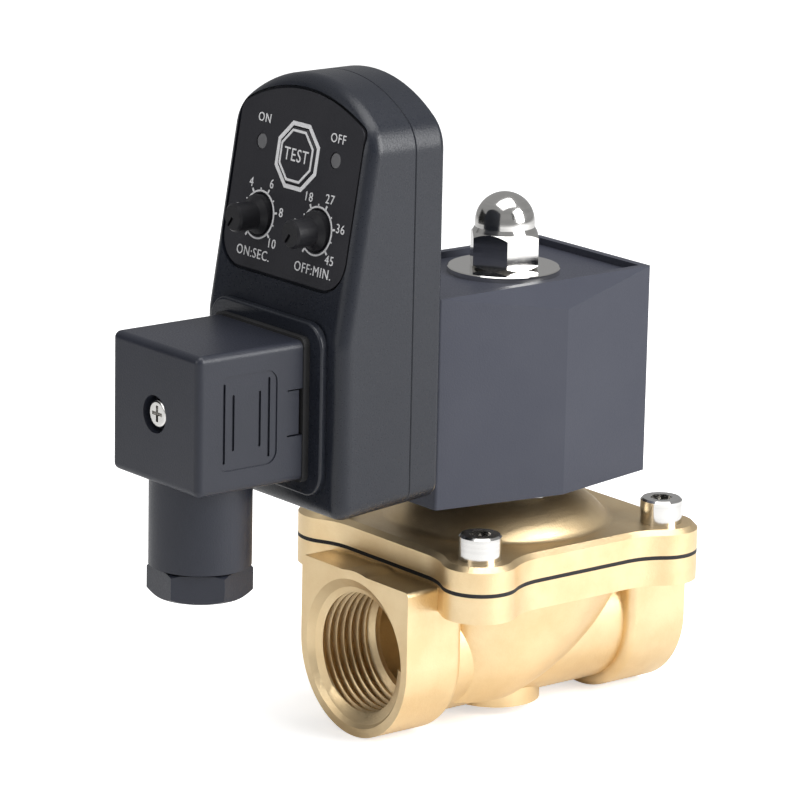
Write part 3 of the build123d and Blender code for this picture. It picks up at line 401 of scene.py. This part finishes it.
def word(cells, text, across, up, height, width=1.0):
    """Add printed characters, centred at a place on the panel."""
    curve = bpy.data.curves.new("print", "FONT")
    curve.body = text
    curve.size = height / CAPITAL_SHARE
    curve.align_x = "CENTER"
    curve.align_y = "CENTER"
    curve.extrude = INK
    curve.space_character = LETTER_SPACE
    curve.resolution_u = 3
    maker = bpy.data.objects.new("print", curve)
    bpy.context.scene.collection.objects.link(maker)
    bpy.context.view_layer.update()
    letters = bpy.data.meshes.new_from_object(maker)
    bpy.data.objects.remove(maker)
    letters.transform(Matrix.Translation((across, up, INK)) @ Matrix.Diagonal((width, 1, 1, 1)))
    cells.from_mesh(letters)
    bpy.data.meshes.remove(letters)


def ring(cells, sides, outer, inner, across, up, turn):
    """Add a flat printed band, round or with sides."""
    section = [(inner, 0), (outer, 0), (outer, 2 * INK), (inner, 2 * INK)]
    corners = [cells.verts.new((radius, 0, z)) for radius, z in section]
    edges = [cells.edges.new((corners[i - 1], corners[i])) for i in range(4)]
    before = set(cells.verts) - set(corners)
    about_z = Matrix.Rotation(radians(turn), 3, "Z")
    bmesh.ops.rotate(cells, verts=corners, cent=(0, 0, 0), matrix=about_z)
    bmesh.ops.spin(
        cells,
        geom=corners + edges,
        cent=(0, 0, 0),
        axis=(0, 0, 1),
        angle=2 * pi,
        steps=sides,
        use_merge=True,
    )
    made = [vert for vert in cells.verts if vert not in before]
    bmesh.ops.translate(cells, verts=made, vec=(across, up, 0))


def tick(cells, across, up, angle, inner, outer, width):
    """Add one printed scale mark that points away from a dial's centre."""
    made = bmesh.ops.create_cube(cells, size=1.0)["verts"]
    bmesh.ops.scale(cells, verts=made, vec=(outer - inner, width, 2 * INK))
    bmesh.ops.translate(cells, verts=made, vec=((inner + outer) / 2, 0, INK))
    about_z = Matrix.Rotation(radians(angle), 3, "Z")
    bmesh.ops.rotate(cells, verts=made, cent=(0, 0, 0), matrix=about_z)
    bmesh.ops.translate(cells, verts=made, vec=(across, up, 0))


KNOB_ACROSS, KNOB_UP = 9.1, 20.5
LAMP_ACROSS, BUTTON_UP = 11.6, 33.4
BUTTON_FACE = 0.3              # the test button's face above the panel's
SCALE_START, SCALE_STEP = 234.0, -55.5
CIRCLE_OUTER, CIRCLE_INNER = 4.8, 4.45
TICK_START = 4.6
LONG_TICK, LONG_WIDTH = 5.6, 0.4
SHORT_TICK, SHORT_WIDTH = 5.2, 0.3
NUMBER_REACH, NUMBER_HEIGHT = 6.85, 1.8
EXTRA_REACH = 0.35             # for each further digit, where it lies sideways

# text, across, up, height and width
PANEL_WORDS = [
    ("ON", -LAMP_ACROSS, 39.0, 1.75, 1.0),
    ("OFF", LAMP_ACROSS, 38.6, 1.75, 1.0),
    ("ON:SEC.", -9.2, 12.9, 1.9, 0.96),
    ("OFF:MIN.", 9.7, 12.9, 1.9, 0.96),
]


def dial_print(cells, across, marks):
    """Add one dial's scale: a circle, its ticks and its numbers."""
    ring(cells, 64, CIRCLE_OUTER, CIRCLE_INNER, across, KNOB_UP, 0)
    for place, mark in enumerate(marks):
        angle = SCALE_START + SCALE_STEP * place
        tick(cells, across, KNOB_UP, angle, TICK_START, LONG_TICK, LONG_WIDTH)
        if place + 1 < len(marks):
            between = angle + SCALE_STEP / 2
            tick(cells, across, KNOB_UP, between, TICK_START, SHORT_TICK, SHORT_WIDTH)
        if not mark:
            continue
        sideways, upwards = cos(radians(angle)), sin(radians(angle))
        reach = NUMBER_REACH + EXTRA_REACH * (len(mark) - 1) * abs(sideways)
        word(cells, mark, across + reach * sideways, KNOB_UP + reach * upwards, NUMBER_HEIGHT)


def button_frame(cells, outer, inner):
    """Add an eight-sided band round the button's centre, sized from it to the flats."""
    corner = cos(pi / 8)
    ring(cells, 8, outer / corner, inner / corner, 0, BUTTON_UP, 22.5)


def finish_print(name, cells, lift, body):
    """Lay flat work on the panel and turn it into a piece."""
    bmesh.ops.transform(cells, matrix=on_panel(lift), verts=cells.verts[:])
    bmesh.ops.recalc_face_normals(cells, faces=cells.faces[:])
    finish_piece(name, cells, PRINT, body)


def panel_print():
    """All white print on the panel."""
    cells = bmesh.new()
    dial_print(cells, -KNOB_ACROSS, ["", "2", "4", "6", "8", "10"])
    dial_print(cells, KNOB_ACROSS, ["", "9", "18", "27", "36", "45"])
    for row in PANEL_WORDS:
        word(cells, *row)
    button_frame(cells, 6.5, 5.65)
    finish_print("panel_print", cells, 0.0, "valve")


def button_print():
    """White outline and word on the test button."""
    cells = bmesh.new()
    button_frame(cells, 5.02, 4.55)
    word(cells, "TEST", 0, BUTTON_UP, 2.5, 0.9)
    finish_print("button_print", cells, BUTTON_FACE, "test_button")


body_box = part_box("valve_body")
pipe_thread("inlet_thread", body_box[0][1], 1)
pipe_thread("outlet_thread", body_box[1][1], -1)
panel_print()
button_print()


# ----------------------------------------------------------- camera and stage

# The camera's place, aim, roll and lens come from a fit to corners seen in the photo.
CAMERA_PLACE = (0.68121, -0.53783, 0.27365)
CAMERA_TURN, CAMERA_DOWN, CAMERA_ROLL = radians(51.161), radians(14.311), radians(1.172)
CAMERA_LENS, CAMERA_SENSOR = 205.8, 36.0

FLOOR_SIZE = (6.0, 6.0)
FLOOR_GLOW = 0.55              # what only the camera sees of it
WORLD_LIGHT, WORLD_SEEN = 0.36, 1.0
CENTRE = (0.0, 0.01, 0.045)

# name, place, size and watts
SOFT_BOXES = [
    ("right_box", (0.75, 0.35, 0.45), (0.5, 0.7), 10.5),
    ("top_box", (0.1, 0.0, 0.9), (0.8, 0.6), 6.0),
    ("left_box", (-0.15, -0.85, 0.45), (0.5, 0.6), 2.0),
]

# name, place and size
DARK_CARDS = [
    ("left_card", (-0.42, -0.30, 0.12), (0.40, 0.30)),
    ("right_card", (0.62, -0.02, 0.40), (0.10, 0.30)),
]


def make_camera():
    """Camera a little above the valve, off its front right corner."""
    look = (
        Matrix.Rotation(CAMERA_TURN, 4, "Z")
        @ Matrix.Rotation(pi / 2 - CAMERA_DOWN, 4, "X")
        @ Matrix.Rotation(CAMERA_ROLL, 4, "Z")
    )
    data = bpy.data.cameras.new("camera")
    data.lens = CAMERA_LENS
    data.sensor_width = CAMERA_SENSOR
    camera = bpy.data.objects.new("camera", data)
    bpy.context.scene.collection.objects.link(camera)
    camera.matrix_world = Matrix.Translation(CAMERA_PLACE) @ look
    bpy.context.scene.camera = camera


def facing(place, axis):
    """Rotation that points an axis from a place at the middle of the valve."""
    return (Vector(CENTRE) - Vector(place)).to_track_quat(axis, "Y")


def area_light(name, place, size, power):
    """Rectangular soft box aimed at the middle of the valve."""
    data = bpy.data.lights.new(name, "AREA")
    data.shape = "RECTANGLE"
    data.size, data.size_y = size
    data.energy = power
    light = bpy.data.objects.new(name, data)
    bpy.context.scene.collection.objects.link(light)
    light.location = place
    light.rotation_euler = facing(place, "-Z").to_euler()


def flat_sheet(name, size, place, material):
    """Flat rectangle laid out by a matrix."""
    cells = bmesh.new()
    bmesh.ops.create_grid(cells, x_segments=1, y_segments=1, size=0.5)
    bmesh.ops.scale(cells, verts=cells.verts, vec=(*size, 1))
    bmesh.ops.transform(cells, matrix=place, verts=cells.verts)
    mesh = bpy.data.meshes.new(name)
    cells.to_mesh(mesh)
    cells.free()
    mesh.materials.append(material)
    sheet = bpy.data.objects.new(name, mesh)
    bpy.context.scene.collection.objects.link(sheet)
    return sheet


def floor_white():
    """Pale matt material that glows a little to the camera, so that only shadow shows on it."""
    material = bpy.data.materials.new("floor_white")
    material.use_nodes = True
    tree = material.node_tree
    shader = tree.nodes["Principled BSDF"]
    shader.inputs["Base Color"].default_value = (0.86, 0.86, 0.86, 1)
    shader.inputs["Roughness"].default_value = 0.9
    shader.inputs["Emission Color"].default_value = (1, 1, 1, 1)
    rays = tree.nodes.new("ShaderNodeLightPath")
    glow = tree.nodes.new("ShaderNodeMath")
    glow.operation = "MULTIPLY"
    glow.inputs[1].default_value = FLOOR_GLOW
    connect(
        tree,
        (rays.outputs["Is Camera Ray"], glow.inputs[0]),
        (glow.outputs["Value"], shader.inputs["Emission Strength"]),
    )
    return material


def make_floor():
    """Pale floor under the valve, which keeps its shadow."""
    place = Matrix.Translation((0, 0, cad_box[0][2]))
    floor = flat_sheet("floor", FLOOR_SIZE, place, floor_white())


def make_world():
    """White world that is dimmer as a light than it looks to the camera."""
    world = bpy.data.worlds.new("studio")
    world.use_nodes = True
    tree = world.node_tree
    background = tree.nodes["Background"]
    background.inputs["Color"].default_value = (1, 1, 1, 1)
    rays = tree.nodes.new("ShaderNodeLightPath")
    strength = tree.nodes.new("ShaderNodeMapRange")
    strength.inputs["To Min"].default_value = WORLD_LIGHT
    strength.inputs["To Max"].default_value = WORLD_SEEN
    connect(
        tree,
        (rays.outputs["Is Camera Ray"], strength.inputs["Value"]),
        (strength.outputs["Result"], background.inputs["Strength"]),
    )
    bpy.context.scene.world = world


def dark_card(name, place, size):
    """Black board out of view, for bright metal and satin plastic to reflect."""
    black = moulded(name, (0.01, 0.01, 0.01), (0.01, 0.01, 0.01), 0.8, 0.9)
    turn = facing(place, "Z").to_matrix().to_4x4()
    card = flat_sheet(name, size, Matrix.Translation(place) @ turn, black)


make_camera()
make_floor()
make_world()
for row in SOFT_BOXES:
    area_light(*row)
for row in DARK_CARDS:
    dark_card(*row)
bpy.context.scene.view_settings.view_transform = "Standard"
